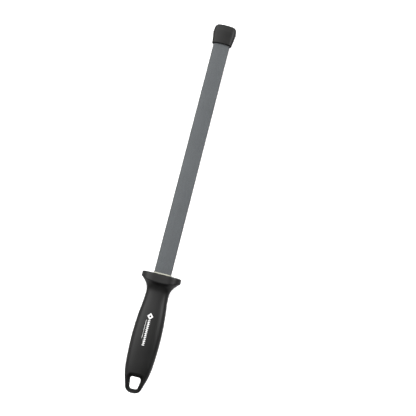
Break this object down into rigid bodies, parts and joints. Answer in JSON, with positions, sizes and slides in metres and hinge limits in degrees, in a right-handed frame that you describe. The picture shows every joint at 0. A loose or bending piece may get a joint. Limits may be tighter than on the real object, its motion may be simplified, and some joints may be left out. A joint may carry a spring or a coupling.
{
  "type": "knife sharpening steel",
  "caption": "Oval diamond-coated sharpening steel with a moulded handle, square guard, hanging hole and push-on tip cap.",
  "frame": {"origin": "centre of the bounding box's underside, which is the flat underside of the guard", "axes": "+Y along the rod from the handle to the tip, +Z square to the rod's broad face and up as it lies, +X to the right"},
  "size_m": [0.0376, 0.3704, 0.032],
  "materials": {
    "handle_plastic": "satin",
    "core_plastic": "matte",
    "collar_plastic": "satin",
    "rod_steel": "satin",
    "diamond_layer": "matte",
    "tang_steel": "satin",
    "cap_rubber": "matte",
    "white_ink": "matte"
  },
  "bodies": {
    "steel": {"handle_skin": "handle_plastic", "handle_core": "core_plastic", "rod_collar": "collar_plastic", "rod_tube": "rod_steel", "diamond_coating": "diamond_layer", "tang": "tang_steel", "tang_pin": "tang_steel", "tip_plug": "core_plastic", "printed_mark": "white_ink"},
    "tip_cap": {"tip_cap": "cap_rubber"}
  },
  "joints": [
    {"name": "cap_pull", "type": "slide", "parent": "steel", "child": "tip_cap", "axis": [0, 1, 0], "range_m": [0, 0.03]}
  ]
}
